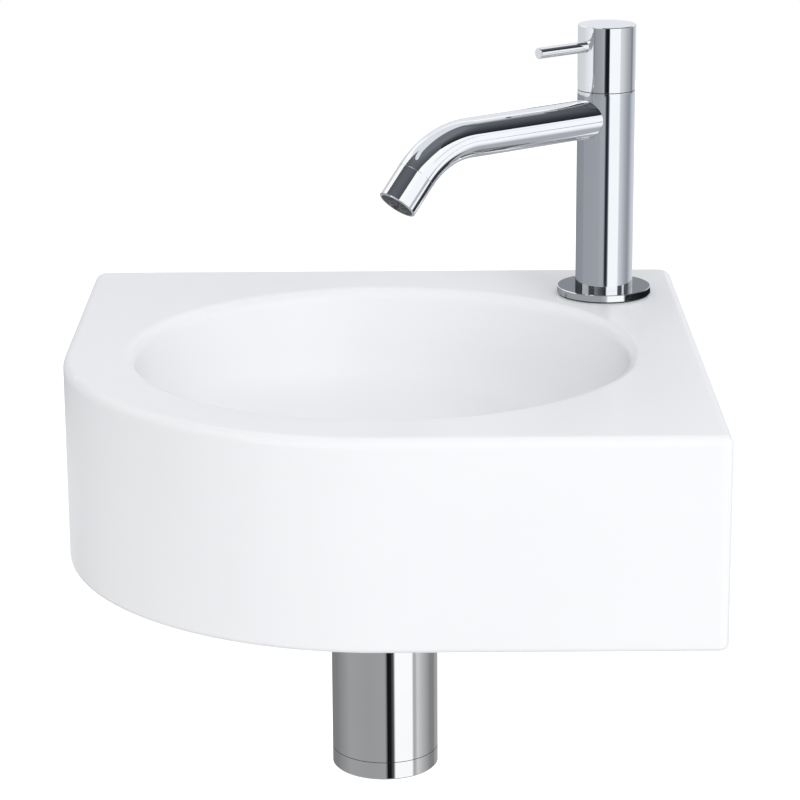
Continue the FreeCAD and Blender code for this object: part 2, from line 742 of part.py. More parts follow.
def make_bottle():
    """The bottle: a closed top with the dip tube's bore, an open foot and an outlet stub."""
    neck = "pipe_radius + thread_fit"
    body = turned_body("trap_body", BOWL_AXIS, [
        ("0", BOTTLE_BOTTOM), ("bottle_radius", BOTTLE_BOTTOM),
        ("bottle_radius", BOTTLE_TOP, "bottle_shoulder_round"), ("0", BOTTLE_TOP)])
    stub = new_sketch(body, "stub_circle", "XZ_Plane")
    draw_circle(stub, "stub_radius", "0", OUTLET_AXIS)
    pad(body, stub, "stub", "stub_reach", backwards=True)
    inside_top = f"({BOTTLE_TOP} - bottle_top)"
    turn_profile(body, "bottle_hollow", "PartDesign::Groove", [
        ("0", BOTTLE_BOTTOM), (BOTTLE_BORE, BOTTLE_BOTTOM), (BOTTLE_BORE, inside_top),
        (neck, inside_top), (neck, BOTTLE_TOP), ("0", BOTTLE_TOP)])
    way = new_sketch(body, "waterway_circle", "XZ_Plane")
    draw_circle(way, PIPE_BORE, "0", OUTLET_AXIS)
    pocket(body, way, "waterway", "stub_reach")
    socket = new_sketch(body, "socket_circle", "XZ_Plane", "stub_socket_depth - stub_reach")
    draw_circle(socket, "pipe_radius + thread_fit", "0", OUTLET_AXIS)
    pocket(body, socket, "socket", "stub_socket_depth")


def make_cup():
    """The cleaning cup screws up into the bottle's foot and carries its own seal."""
    spigot = f"({BOTTLE_BORE} - cup_fit)"
    inside = f"({spigot} - cup_spigot_wall)"
    seal_inner = f"({BOTTLE_BORE} + (bottle_wall - cup_seal_width) / 2)"
    seal_outer = f"({seal_inner} + cup_seal_width)"
    seal_foot = f"({CUP_TOP} - cup_seal_depth)"
    spigot_top = f"({CUP_TOP} + cup_spigot_height)"
    floor = f"({CUP_BOTTOM} + cup_floor)"
    body = turned_body("trap_cup", BOWL_AXIS, [
        ("0", CUP_BOTTOM), ("bottle_radius", CUP_BOTTOM), ("bottle_radius", CUP_TOP),
        (seal_outer, CUP_TOP), (seal_outer, seal_foot), (seal_inner, seal_foot),
        (seal_inner, CUP_TOP), (spigot, CUP_TOP), (spigot, spigot_top), (inside, spigot_top),
        (inside, floor), ("0", floor)])
    bevel_edges(body, "cup_edge", "cup_edge_bevel", on_ring("bottle_radius", CUP_BOTTOM))
    tube("trap_cup_seal", BOWL_AXIS, seal_inner, seal_outer, seal_foot,
         BOTTLE_BOTTOM)


def make_outlet():
    """Compression joint on the stub, the pipe into the wall and its cover plate."""
    pipe_outside = "(pipe_radius + thread_fit)"
    stub_outside = "(stub_radius + thread_fit)"
    gasket_face = "(stub_reach + outlet_gasket_thickness)"
    nut_face = f"({gasket_face} + outlet_nut_lip)"
    nut_start = f"({nut_face} - outlet_nut_length)"
    tube("trap_outlet_gasket", OUTLET_FRAME, pipe_outside, "stub_radius", "stub_reach",
         gasket_face)
    body = turned_body("trap_outlet_nut", OUTLET_FRAME, [
        (stub_outside, nut_start), ("outlet_nut_radius", nut_start),
        ("outlet_nut_radius", nut_face), (pipe_outside, nut_face), (pipe_outside, gasket_face),
        (stub_outside, gasket_face)])
    bevel_edges(body, "outlet_nut_edge", "outlet_nut_bevel",
                on_ring("outlet_nut_radius", nut_face))
    make_wall_pipe()
    make_rosette()


def make_wall_pipe():
    """A plain pipe with a rolled ring that marks how far it goes into the drain."""
    start = "(stub_reach - stub_socket_depth)"
    end = f"({BOWL_FROM_WALL} + pipe_behind_wall)"
    mark = f"({BOWL_FROM_WALL} - pipe_mark_width)"
    neck = "(pipe_radius - pipe_mark_depth)"
    turned_body("trap_wall_pipe", OUTLET_FRAME, [
        (PIPE_BORE, start), ("pipe_radius", start), ("pipe_radius", mark), (neck, mark),
        (neck, BOWL_FROM_WALL), ("pipe_radius", BOWL_FROM_WALL), ("pipe_radius", end),
        (PIPE_BORE, end)])


def make_rosette():
    """The cover plate over the pipe's hole in the wall."""
    collar = "(pipe_radius + thread_fit)"
    face = f"({BOWL_FROM_WALL} - rosette_height)"
    shoulder = "(pipe_radius + rosette_height)"
    turned_body("wall_rosette", OUTLET_FRAME, [
        (collar, face), (f"{collar} + rosette_wall", face),
        (shoulder, f"{BOWL_FROM_WALL} - rosette_height / 3"),
        ("rosette_radius", f"{BOWL_FROM_WALL} - rosette_wall"),
        ("rosette_radius", BOWL_FROM_WALL),
        ("rosette_radius - rosette_wall", BOWL_FROM_WALL),
        (f"{shoulder} - rosette_wall", f"{BOWL_FROM_WALL} - rosette_height / 3 + rosette_wall"),
        (collar, f"{face} + rosette_wall * 2")])


# Tap ----------------------------------------------------------------------------

def make_tap():
    tube("tap_base_gasket", TAP_AXIS, "shank_radius + sleeve_fit",
         "tap_flange_radius - tap_gasket_inset", "0", FLANGE_SEAT)
    flange_top = f"({FLANGE_SEAT} + tap_flange_thickness)"
    flange = tube("tap_flange", TAP_AXIS, "column_radius + thread_fit", "tap_flange_radius",
                  FLANGE_SEAT, flange_top)
    bevel_edges(flange, "flange_edge", "tap_flange_bevel", on_ring("tap_flange_radius", flange_top))
    make_column()
    make_spout()
    make_aerator()
    make_tap_fixing()


def make_column():
    """The column, with the headwork's chamber above and the shank's socket below."""
    socket = "(shank_radius + thread_fit)"
    body = turned_body("tap_body", TAP_AXIS, [
        (socket, FLANGE_SEAT), ("column_radius", FLANGE_SEAT),
        ("column_radius", "column_height"), ("chamber_radius", "column_height"),
        ("chamber_radius", "chamber_floor"), ("shank_bore", "chamber_floor"),
        ("shank_bore", SHANK_TOP), (socket, SHANK_TOP)])
    hole = new_sketch(body, "spout_hole_circle", "YZ_Plane")
    draw_circle(hole, "spout_radius + thread_fit", "0", SPOUT_LEVEL)
    pocket(body, hole, "spout_hole", "column_radius", backwards=True)


def make_spout():
    """One tube: a level run out of the column and a bend down to the aerator."""
    body = new_body("tap_spout", SPOUT_AXIS)
    for kind, radius, name in (("PartDesign::AdditivePipe", "spout_radius", "spout_outside"),
                               ("PartDesign::SubtractivePipe", SPOUT_BORE, "spout_waterway")):
        section = new_sketch(body, name + "_circle", "YZ_Plane", SPOUT_ROOT)
        draw_circle(section, radius)
        pipe = body.newObject(kind, name)
        pipe.Profile = section
        pipe.Spine = (spout_path(body, name + "_path"), [])
        document.recompute()


def spout_path(body, name):
    path = new_sketch(body, name, "XZ_Plane")
    straight = number_of("spout_straight_length")
    radius = number_of("spout_bend_radius")
    turn = math.radians(number_of("spout_bend_turn"))
    bend = Part.Circle(Vector(straight, -radius, 0), Vector(0, 0, 1), radius)
    bend_start = Vector(straight, 0, 0)
    path.addGeometry(Part.LineSegment(Vector(number_of(SPOUT_ROOT), 0, 0), bend_start), False)
    path.addGeometry(Part.ArcOfCircle(bend, math.pi / 2 - turn, math.pi / 2), False)
    hold_point(path, 0, 1, SPOUT_ROOT, "0")
    hold_point(path, 0, 2, "spout_straight_length", "0")
    path.addConstraint(Sketcher.Constraint("Coincident", 0, 2, 1, 2))
    hold_point(path, 1, 3, "spout_straight_length", "0 - spout_bend_radius")
    end_x = number_of(SPOUT_END_X)
    row = path.addConstraint(Sketcher.Constraint("DistanceX", -1, 1, 1, 1, end_x))
    path.setExpression(f"Constraints[{row}]", bound(SPOUT_END_X))
    return path


def make_aerator():
    """A sleeve on the spout's end, holding a washer and a perforated insert."""
    spigot = f"({SPOUT_BORE} - sleeve_fit)"
    groove = "(spout_radius - aerator_groove)"
    ledge = f"({spigot} - aerator_ledge)"
    bore = "(spout_radius - aerator_wall)"
    ledge_top = "(aerator_seam + aerator_ledge)"
    body = turned_body("aerator_housing", AERATOR_AXIS, [
        (ledge, "0 - aerator_spigot"), (spigot, "0 - aerator_spigot"), (spigot, "0"),
        (groove, "0"), (groove, "aerator_seam"), ("spout_radius", "aerator_seam"),
        ("spout_radius", "aerator_length"),
        (bore, "aerator_length"), (bore, ledge_top), (ledge, ledge_top)])
    bevel_edges(body, "aerator_lip", "aerator_bevel", on_ring("spout_radius", "aerator_length"))
    inside = f"({bore} - thread_fit)"
    washer_top = f"({ledge_top} + aerator_washer_thickness)"
    tube("aerator_washer", AERATOR_AXIS, ledge, inside, ledge_top, washer_top)
    make_aerator_insert(inside, washer_top)


def make_aerator_insert(outside, foot):
    """A cup whose face, at the outlet, has a ring of jets round a middle one."""
    face_top = "(aerator_length - aerator_recess)"
    face_foot = f"({face_top} - aerator_face)"
    inside = f"({outside} - aerator_face)"
    body = turned_body("aerator_insert", AERATOR_AXIS, [
        ("aerator_hole_radius", face_foot), (inside, face_foot), (inside, foot),
        (outside, foot), (outside, face_top), ("aerator_hole_radius", face_top)])
    jet = new_sketch(body, "jet_circle", "XY_Plane", face_top)
    draw_circle(jet, "aerator_hole_radius", "aerator_ring")
    cut = pocket(body, jet, "jet", "aerator_face")
    ring_of(body, cut, jet, "jets", AERATOR_HOLES)


def make_tap_fixing():
    """Shank through the deck, clamped from below by two washers and a nut.

    A relief parts its lower thread, which takes the supply hose, from the nut's thread.
    """
    end = f"({DECK_UNDER} - shank_below_deck)"
    relief = f"({end} + supply_thread_length)"
    relief_top = f"({relief} + shank_relief_width)"
    neck = "(shank_radius - shank_relief_depth)"
    turned_body("tap_shank", TAP_AXIS, [
        ("shank_bore", end), ("shank_radius", end), ("shank_radius", relief), (neck, relief),
        (neck, relief_top), ("shank_radius", relief_top), ("shank_radius", SHANK_TOP),
        ("shank_bore", SHANK_TOP)])
    bore = "(shank_radius + thread_fit)"
    rubber_foot = f"({DECK_UNDER} - rubber_washer_thickness)"
    clamp_foot = f"({rubber_foot} - clamp_washer_thickness)"
    tube("tap_rubber_washer", TAP_AXIS, bore, "rubber_washer_radius", rubber_foot, DECK_UNDER)
    tube("tap_clamp_washer", TAP_AXIS, bore, "clamp_washer_radius", clamp_foot, rubber_foot)
    nut_foot = f"{clamp_foot} - back_nut_height"
    hexagon_nut("tap_back_nut", TAP_AXIS + " * " + frame(z=nut_foot), "back_nut_width",
                bore, "back_nut_height")


# Headwork -----------------------------------------------------------------------

def make_headwork():
    spindle_bore = "(spindle_radius + running_fit)"
    nose = "(chamber_radius - sleeve_fit)"
    thread = "(chamber_radius - thread_fit)"
    body = turned_body("headwork", TAP_AXIS, [
        ("disc_bore", HEADWORK_FOOT), (nose, HEADWORK_FOOT), (nose, NOSE_TOP),
        ("headwork_waist_radius", NOSE_TOP), ("headwork_waist_radius", THREAD_FOOT),
        (thread, THREAD_FOOT), (thread, "column_height"), ("gland_radius", "column_height"),
        ("gland_radius", GLAND_TOP), (spindle_bore, GLAND_TOP), (spindle_bore, DISC_ROOM_TOP),
        ("disc_bore", DISC_ROOM_TOP)])
    head = new_sketch(body, "head_plan", "XY_Plane", "column_height")
    draw_polygon(head, hexagon("headwork_head_width"))
    draw_circle(head, spindle_bore)
    pad(body, head, "head", "headwork_head_height")
    window = new_sketch(body, "window_outline", "XZ_Plane", f"0 - {nose}")
    half = "window_width / 2"
    low = MOVING_DISC_FOOT
    high = f"{low} + window_height"
    draw_polygon(window, [(f"0 - {half}", low), (half, low), (half, high), (f"0 - {half}", high)])
    pocket(body, window, "windows", "chamber_radius * 2", backwards=True)
    tube("headwork_seal", TAP_AXIS, "shank_bore + thread_fit", nose, "chamber_floor",
         HEADWORK_FOOT)
    make_discs()
    make_spindle()


def make_disc(name, radius, foot, across):
    """One ceramic disc with two ports, on the x axis or across it."""
    body = turned_body(name, TAP_AXIS, [
        ("0", foot), (radius, foot), (radius, f"{foot} + disc_thickness"),
        ("0", f"{foot} + disc_thickness")])
    ports = new_sketch(body, name + "_ports", "XY_Plane", f"{foot} + disc_thickness")
    for side in ("0 -", "0 +"):
        offset = f"{side} disc_port_offset"
        x, y = ("0", offset) if across else (offset, "0")
        draw_circle(ports, "disc_port_radius", x, y)
    pocket(body, ports, name + "_holes", "disc_thickness")


def make_discs():
    make_disc("fixed_disc", "disc_bore - thread_fit", HEADWORK_FOOT, across=False)
    make_disc("moving_disc", "disc_bore - sleeve_fit", MOVING_DISC_FOOT, across=True)


def make_spindle():
    turned_body("spindle", TAP_AXIS, [
        ("0", MOVING_DISC_TOP), ("spindle_collar_radius", MOVING_DISC_TOP),
        ("spindle_collar_radius", COLLAR_TOP), ("spindle_radius", COLLAR_TOP),
        ("spindle_radius", SPINDLE_TOP), ("0", SPINDLE_TOP)])


# Cap and lever ------------------------------------------------------------------

def make_handle():
    outer = "(column_radius - sleeve_fit)"
    tube("cap_glide_ring", TAP_AXIS, f"{outer} - glide_ring_width", outer, "column_height",
         "column_height + glide_ring_thickness")
    make_cap()
    make_lever()
    make_grub_screw()


def make_cap():
    skirt = "(column_radius - cap_wall)"
    bore = "(spindle_radius + thread_fit)"
    bore_top = f"({SPINDLE_TOP} + cap_inner_gap)"
    body = turned_body("handle_cap", TAP_AXIS, [
        (skirt, CAP_FOOT), ("column_radius", CAP_FOOT), ("column_radius", CAP_TOP),
        ("0", CAP_TOP), ("0", bore_top), (bore, bore_top), (bore, CAP_INSIDE),
        (skirt, CAP_INSIDE)])
    bevel_edges(body, "cap_edge", "cap_edge_bevel", on_ring("column_radius", CAP_TOP))
    lever = new_sketch(body, "lever_circle", "YZ_Plane", "lever_root")
    draw_circle(lever, "lever_radius + thread_fit", "0", LEVER_AXIS)
    pocket(body, lever, "lever_hole", "column_radius - lever_root", backwards=True)
    grub = new_sketch(body, "grub_circle", "YZ_Plane")
    draw_circle(grub, "grub_radius + thread_fit", "0", GRUB_AXIS)
    pocket(body, grub, "grub_hole", "column_radius")


def make_lever():
    """A plain round pin screwed into the cap."""
    along = TAP_AXIS + " * " + frame(z=LEVER_AXIS, turn=("0", "1", "0"), angle="90")
    body = turned_body("handle_lever", along, [
        ("0", "lever_root"), ("lever_radius", "lever_root"), ("lever_radius", "lever_reach"),
        ("0", "lever_reach")])
    bevel_edges(body, "lever_tip", "lever_tip_bevel", on_ring("lever_radius", "lever_reach"))


def make_grub_screw():
    """A socket set screw that locks the cap to the spindle, at the back of the cap."""
    along = TAP_AXIS + " * " + frame(z=GRUB_AXIS, turn=("0", "1", "0"), angle="-90")
    inner = "(spindle_radius + thread_fit)"
    outer = f"({inner} + grub_length)"
    body = turned_body("handle_grub_screw", along, [
        ("0", inner), ("grub_radius", inner), ("grub_radius", outer), ("0", outer)])
    key = new_sketch(body, "key_outline", "XY_Plane", outer)
    draw_polygon(key, hexagon("grub_key_width"))
    pocket(body, key, "key_socket", "grub_key_depth")


# Check and write ----------------------------------------------------------------

def check_document():
    for item in document.Objects:
        if "Invalid" in item.State or "Error" in item.State:
            raise RuntimeError(f"{item.Name} is {item.State}")
    for body in sub_parts():
        if body.Shape.isNull() or not body.Shape.isValid() or not body.Shape.Solids:
            raise RuntimeError(f"{body.Label} has no sound solid")


def sub_parts():
    return [item for item in document.Objects if item.TypeId == "PartDesign::Body"]


def write_parts():
    os.makedirs("parts", exist_ok=True)
    for body in sub_parts():
        body.Shape.exportStep(f"parts/{body.Label}.step")


fill_sheet()
make_basin()
make_wall_fixing()
make_waste()
make_trap()
make_tap()
make_headwork()
make_handle()
document.recompute()
check_document()
write_parts()
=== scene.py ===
import json
import math

import bpy
from mathutils import Matrix, Vector


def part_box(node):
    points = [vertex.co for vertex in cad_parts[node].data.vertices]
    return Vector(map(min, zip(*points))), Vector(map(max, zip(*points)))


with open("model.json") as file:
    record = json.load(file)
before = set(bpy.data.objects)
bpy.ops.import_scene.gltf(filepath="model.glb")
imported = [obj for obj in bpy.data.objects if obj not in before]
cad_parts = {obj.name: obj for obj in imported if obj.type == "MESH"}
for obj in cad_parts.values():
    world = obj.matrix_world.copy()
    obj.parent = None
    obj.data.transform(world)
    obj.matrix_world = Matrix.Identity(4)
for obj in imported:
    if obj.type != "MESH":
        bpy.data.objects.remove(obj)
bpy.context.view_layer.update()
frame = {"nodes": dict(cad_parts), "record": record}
NODES = frame["nodes"]

# Lengths are in metres, apart from the camera's sensor.
# The camera was fitted to the photograph. Its three angles are in radians.
IMAGE_SIDE = 800
FOCAL_PIXELS = 2971.4
SENSOR_MILLIMETRES = 36
CAMERA_PLACE = (0.0064, -1.5149, 0.4081)
CAMERA_PITCH = 0.2793
CAMERA_YAW = 0.0013
CAMERA_ROLL = -0.0059
CLIP_START = 0.05
CLIP_END = 50

# Two square lamps aim at one point, and the ambient level lights from all round.
LAMP_SIDE = 1.6
LAMP_TARGET = (0, -0.15, 0)
KEY_PLACE = (1.7, -1.9, 1.15)
KEY_POWER = 16
FILL_PLACE = (-0.2, -2.6, 0.85)
FILL_POWER = 8
AMBIENT = 0.775

# The floor lies well below the basin, which hangs on a wall.
FLOOR_HEIGHT = -0.9
FLOOR_SIDE = 12.0
FLOOR_GREY = 0.85
FLOOR_GLOW = 0.6

# The materials' reliefs and thread pitches, and the span that most of a noise texture's
# values lie in.
NOISE_SPAN = (0.3, 0.7)
FAINT_RELIEF = 0.00002
THREAD_RELIEF = 0.0006
STUD_PITCH = 0.0015
SHANK_PITCH = 0.0018


# Shades -----------------------------------------------------------------------------

def linear(level):
    """A screen level of 0 to 255 as linear light."""
    share = level / 255
    return share / 12.92 if share <= 0.04045 else ((share + 0.055) / 1.055) ** 2.4


def cool(level, tint):
    """A neutral screen level as a linear colour, moved towards blue by a tint in levels."""
    return (linear(level - tint), linear(level - tint / 3), linear(min(level + tint, 255)), 1)


# Materials --------------------------------------------------------------------------

def noise(tree, scale):
    place = tree.nodes.new("ShaderNodeTexCoord")
    texture = tree.nodes.new("ShaderNodeTexNoise")
    texture.inputs["Scale"].default_value = scale
    tree.links.new(place.outputs["Object"], texture.inputs["Vector"])
    return texture.outputs["Fac"]


def spread(tree, source, low, high):
    """Turn a noise value into one between two numbers."""
    span = tree.nodes.new("ShaderNodeMapRange")
    span.inputs["From Min"].default_value, span.inputs["From Max"].default_value = NOISE_SPAN
    span.inputs["To Min"].default_value = low
    span.inputs["To Max"].default_value = high
    tree.links.new(source, span.inputs["Value"])
    return span.outputs["Result"]


def blend_colours(tree, source, colours):
    """Turn a noise value into a colour between two."""
    ramp = tree.nodes.new("ShaderNodeValToRGB")
    for element, position, colour in zip(ramp.color_ramp.elements, NOISE_SPAN, colours):
        element.position = position
        element.color = (*colour, 1)
    tree.links.new(source, ramp.inputs["Fac"])
    return ramp.outputs["Color"]


def relief(material, source, distance):
    """Raise a surface by up to a distance, as a 0 to 1 value says."""
    tree = material.node_tree
    bump = tree.nodes.new("ShaderNodeBump")
    bump.inputs["Distance"].default_value = distance
    tree.links.new(source, bump.inputs["Height"])
    tree.links.new(bump.outputs["Normal"], tree.nodes["Principled BSDF"].inputs["Normal"])


def finish_surface(name, colours, roughness, grain, bump=0, metallic=0):
    """A material whose colour, roughness and relief vary between close values.

    The grain is the scale of its noise, and the bump is its relief's distance.
    """
    material = bpy.data.materials.new(name)
    material.use_nodes = True
    tree = material.node_tree
    shader = tree.nodes["Principled BSDF"]
    shader.inputs["Metallic"].default_value = metallic
    source = noise(tree, grain)
    tree.links.new(blend_colours(tree, source, colours), shader.inputs["Base Color"])
    tree.links.new(spread(tree, source, *roughness), shader.inputs["Roughness"])
    if bump:
        relief(material, source, bump)
    return material


def glazed_ceramic():
    """White glaze, slightly cool, whose relief is finer than its changes of colour."""
    glaze = finish_surface("glazed_ceramic", ((0.92, 0.93, 0.95), (0.94, 0.95, 0.97)),
                           (0.30, 0.34), 9)
    relief(glaze, noise(glaze.node_tree, 60), FAINT_RELIEF)
    glaze.node_tree.nodes["Principled BSDF"].inputs["IOR"].default_value = 1.5
    return glaze


def threaded(name, finish, axis, pitch):
    """A metal with thread rings round one axis of its node."""
    metal = finish_surface(name, *finish, metallic=1)
    tree = metal.node_tree
    place = tree.nodes.new("ShaderNodeTexCoord")
    rings = tree.nodes.new("ShaderNodeTexWave")
    rings.wave_type = "BANDS"
    rings.bands_direction = axis
    # The bands repeat every pi / (10 * scale).
    rings.inputs["Scale"].default_value = math.pi / (10 * pitch)
    tree.links.new(place.outputs["Object"], rings.inputs["Vector"])
    relief(metal, rings.outputs["Fac"], THREAD_RELIEF)
    return metal


BRASS_FINISH = (((0.66, 0.47, 0.20), (0.76, 0.57, 0.28)), (0.22, 0.38), 220)
STEEL_FINISH = (((0.52, 0.53, 0.55), (0.68, 0.69, 0.70)), (0.28, 0.42), 160)

SLOT_MATERIALS = {
    "vitreous_china": glazed_ceramic(),
    "polished_chrome": finish_surface(
        "polished_chrome", ((0.955, 0.955, 0.96), (0.975, 0.975, 0.98)), (0.012, 0.022), 40,
        metallic=1),
    "raw_brass": finish_surface("turned_brass", *BRASS_FINISH, FAINT_RELIEF, metallic=1),
    "zinc_steel": finish_surface("zinc_steel", *STEEL_FINISH, FAINT_RELIEF, metallic=1),
    "black_rubber": finish_surface(
        "black_rubber", ((0.012, 0.012, 0.012), (0.03, 0.03, 0.03)), (0.55, 0.75), 400, 0.00003),
    "white_plastic": finish_surface(
        "white_plastic", ((0.74, 0.74, 0.72), (0.82, 0.82, 0.80)), (0.38, 0.5), 300,
        FAINT_RELIEF),
    "dark_plastic": finish_surface(
        "dark_plastic", ((0.05, 0.05, 0.053), (0.085, 0.085, 0.09)), (0.35, 0.5), 300,
        FAINT_RELIEF),
    "disc_ceramic": finish_surface(
        "disc_ceramic", ((0.70, 0.69, 0.66), (0.80, 0.79, 0.77)), (0.12, 0.2), 300),
}


def dress(piece, material):
    piece.data.materials.clear()
    piece.data.materials.append(material)


for part in frame["record"]["subparts"]:
    dress(NODES[part["node"]], SLOT_MATERIALS[part["material_slot"]])

dress(NODES["wall_studs"], threaded("stud_thread", STEEL_FINISH, "Y", STUD_PITCH))
dress(NODES["tap_shank"], threaded("shank_thread", BRASS_FINISH, "Z", SHANK_PITCH))


# Studio pieces ----------------------------------------------------------------------

def stage_mesh(name, corners, faces):
    mesh = bpy.data.meshes.new(name)
    mesh.from_pydata(corners, [], faces)
    thing = bpy.data.objects.new(name, mesh)
    bpy.context.scene.collection.objects.link(thing)
    return thing


def empty_material(name):
    """A material and its node tree, which has no nodes yet."""
    material = bpy.data.materials.new(name)
    material.use_nodes = True
    material.node_tree.nodes.clear()
    return material, material.node_tree


def level_square(centre, reach, height):
    x, y = centre.x, centre.y
    return [(x - reach, y - reach, height), (x + reach, y - reach, height),
            (x + reach, y + reach, height), (x - reach, y + reach, height)]


# Cards ------------------------------------------------------------------------------

# The metal's light and dark bands are glowing cards that only reflections show. A card's level
# is a screen level of 0 to 255, and a tint is how far it is moved towards blue.
# An azimuth is in degrees: 0 on the camera's side, 90 on the right and 180 at the wall.
CARD_TINT = 5
RING_TINT = 4
COLUMN_TINT = 6
TRAP_TINT = 1
FACET_DEGREES = 3


def only_reflected(thing):
    """Let a thing show in metal and glaze alone. It neither lights nor shades a piece."""
    thing.visible_camera = False
    thing.visible_diffuse = False
    thing.visible_shadow = False
    thing.visible_transmission = False
    thing.visible_volume_scatter = False


def light_card(card, stops, tint, axis):
    """Make a card glow through stops of (share of the way along a UV axis, level)."""
    material, tree = empty_material(card.name)
    place = tree.nodes.new("ShaderNodeUVMap")
    axes = tree.nodes.new("ShaderNodeSeparateXYZ")
    ramp = tree.nodes.new("ShaderNodeValToRGB")
    glow = tree.nodes.new("ShaderNodeEmission")
    out = tree.nodes.new("ShaderNodeOutputMaterial")
    elements = ramp.color_ramp.elements
    # New elements start halfway and are then moved to their own places.
    for _ in stops[len(elements):]:
        elements.new(0.5)
    for element, (share, level) in zip(elements, stops):
        element.position = share
        element.color = cool(level, tint)
    tree.links.new(place.outputs["UV"], axes.inputs["Vector"])
    tree.links.new(axes.outputs[axis], ramp.inputs["Fac"])
    tree.links.new(ramp.outputs["Color"], glow.inputs["Color"])
    tree.links.new(glow.outputs["Emission"], out.inputs["Surface"])
    card.data.materials.append(material)
    only_reflected(card)


def bent_card(name, centre, distance, ends, heights, low_end=None):
    """A card bent round a point from one azimuth to another, with its UVs from 0 to 1.

    A low end is the height that its lower edge slopes to.
    """
    start, end = ends
    low, high = heights
    rise = 0 if low_end is None else low_end - low
    steps = round((end - start) / FACET_DEGREES)
    corners, faces = [], []
    for step in range(steps + 1):
        azimuth = math.radians(start + (end - start) * step / steps)
        for height in (low + rise * step / steps, high):
            corners.append((centre.x + distance * math.sin(azimuth),
                            centre.y - distance * math.cos(azimuth), height))
    for step in range(steps):
        first = 2 * step
        faces.append((first, first + 1, first + 3, first + 2))
    card = stage_mesh(name, corners, faces)
    layer = card.data.uv_layers.new()
    for loop in card.data.loops:
        step, upper = divmod(loop.vertex_index, 2)
        layer.data[loop.index].uv = (step / steps, upper)
    return card


def ring_card(name, centre, distance, heights, stops, tint=CARD_TINT):
    """A bent card whose level changes on the way round, through stops of (azimuth, level)."""
    start, end = stops[0][0], stops[-1][0]
    shares = [((azimuth - start) / (end - start), level) for azimuth, level in stops]
    light_card(bent_card(name, centre, distance, (start, end), heights), shares, tint, "X")


def rising_card(name, distance, ends, heights, stops, low_end=None):
    """A bent card whose level changes on the way up, through stops of (share of it, level)."""
    light_card(bent_card(name, TAP, distance, ends, heights, low_end), stops, CARD_TINT, "Y")


def flat_card(name, corners, level):
    card = stage_mesh(name, corners, [(0, 1, 2, 3)])
    card.data.uv_layers.new()
    light_card(card, [(0, level), (1, level)], CARD_TINT, "X")


def middle(node):
    low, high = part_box(node)
    return (low + high) / 2


TAP = middle("tap_body")
TRAP = middle("trap_body")

# The cards' distances from the tap's and the trap's axes, and half the ground card's side.
FAR = 2.0
JUST_INSIDE_FAR = 0.99 * FAR
WELL_INSIDE_FAR = 0.98 * FAR
NEAR = 1.2
TRAP_DISTANCE = 0.35
GROUND_REACH = 3.0

# Heights where one card stops and the next starts, from the ground to the ceiling.
GROUND = -1.3
LOW_FOOT = -0.56
RIM_FOOT = -0.453
COLUMN_FOOT = -0.4375
CAP_FOOT = -0.207
LEVEL_FOOT = -0.12
LEVEL_TOP = 0.515
UPPER_FOOT = 0.565
UPPER_TOP = 1.0
BACK_TOP = 2.0
CEILING = 2.6
# Heights of the dark field, and the foot and top of three cards.
DARK_FOOT_LEFT = 1.05
DARK_FOOT_RIGHT = 0.5
DARK_TOP = 2.4
TRAP_BAND = (-0.322, -0.172)
FLANGE_BAND = (0.522, 0.562)
LOW_DARK_BAND = (-1.25, -0.575)

# What the cap, the column and the trap show all round, as (azimuth, level).
CAP_RING = [(-184, 205), (-103, 216), (-97, 222), (-66, 240), (-60, 234), (-57, 119),
            (-54, 135), (-50, 150), (-20, 164), (-15, 176), (-9, 60), (-6, 28), (5, 24),
            (7, 90), (9, 254), (51, 254), (53, 218), (63, 212), (85, 180), (107, 152),
            (115, 119), (123, 177), (146, 213), (176, 249)]
COLUMN_RING = [(-184, 194), (-165, 152), (-160, 142), (-103, 148), (-97, 156), (-28, 161),
               (-24, 166), (-9, 168), (-5, 120), (-3, 48), (4, 38), (8, 100), (10, 190),
               (12, 253), (51, 253), (54, 212), (63, 200), (85, 165), (101, 147),
               (112, 175), (125, 200), (146, 212), (176, 238)]
TRAP_RING = [(-182, 124), (-124, 126), (-78, 157), (-30, 153), (0, 157), (3, 110), (5, 18),
             (12, 24), (14, 60), (18, 92), (21, 254), (58, 254), (61, 172), (66, 170),
             (71, 206), (85, 180), (112, 130), (128, 128), (135, 156), (155, 165),
             (165, 200), (178, 221)]
# What the flange's rim shows, and what its top and the column's foot show in each other.
RIM_RING = [(-184, 130), (-120, 152), (-10, 158), (2, 180), (7, 254), (46, 254), (50, 60),
            (54, 34), (110, 24), (150, 30), (176, 60)]
FLANGE_RING = [(-184, 60), (-100, 62), (-96, 176), (-70, 170), (-66, 74), (-44, 62),
               (-40, 120), (-20, 84), (4, 40), (8, 250), (51, 250), (54, 74), (73, 76),
               (75, 210), (84, 210), (86, 78), (108, 82), (118, 150), (150, 190), (176, 200)]
# Level with the part and a little below it, for a look from lower or from farther away.
LEVEL_RING = [(-152, 215), (-120, 196), (-62, 156), (-22, 160), (-8, 100), (-2, 50), (4, 46),
              (10, 120), (14, 252), (100, 252), (106, 205), (120, 160), (136, 190), (152, 220)]
LOW_RING = [(-184, 194), (-160, 142), (-97, 156), (-24, 160), (-6, 110), (0, 60), (4, 60),
            (10, 190), (13, 253), (100, 253), (104, 170), (125, 190), (176, 238)]
BACK_ARC = [(152, 228), (166, 234), (208, 234)]

